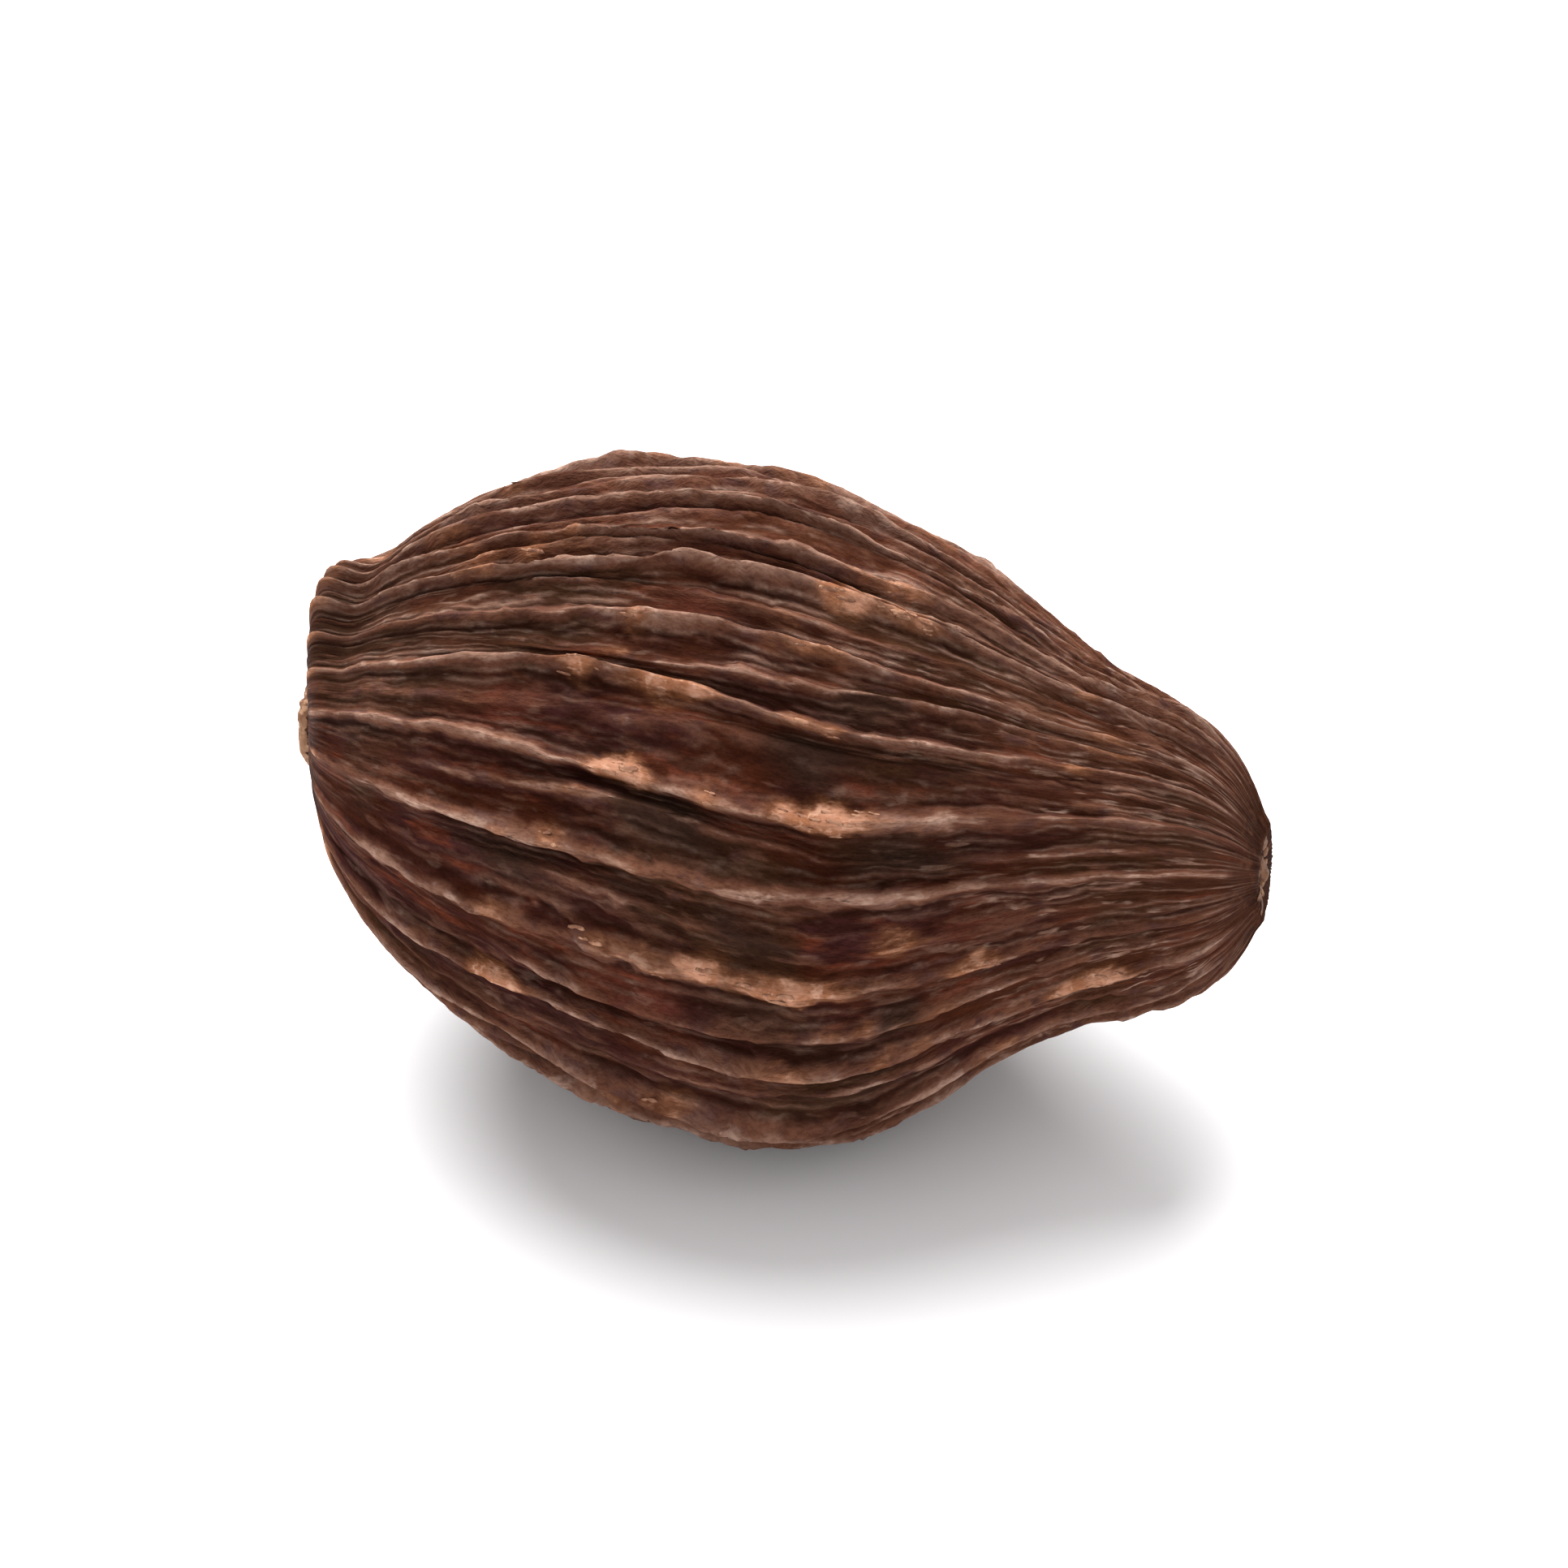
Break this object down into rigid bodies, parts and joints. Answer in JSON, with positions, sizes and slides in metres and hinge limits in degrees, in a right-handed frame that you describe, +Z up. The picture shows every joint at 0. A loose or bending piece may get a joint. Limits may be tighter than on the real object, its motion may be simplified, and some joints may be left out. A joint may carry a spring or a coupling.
{
  "type": "black cardamom pod",
  "caption": "Whole dried black cardamom pod, a ribbed, blunt-ended, egg-shaped husk that narrows to a short beak, lying on its side.",
  "frame": {"origin": "middle of the pod's box in plan, on the surface that it rests on", "axes": "+X along the pod from the stalk end to the beak, +Z up"},
  "size_m": [0.0366, 0.0248, 0.0245],
  "materials": {
    "dried_husk": "dull dried fruit skin, dark brown furrows with worn tan rib crests, roughness about 0.6"
  },
  "bodies": {
    "root": {"pod": "dried_husk"}
  },
  "joints": []
}
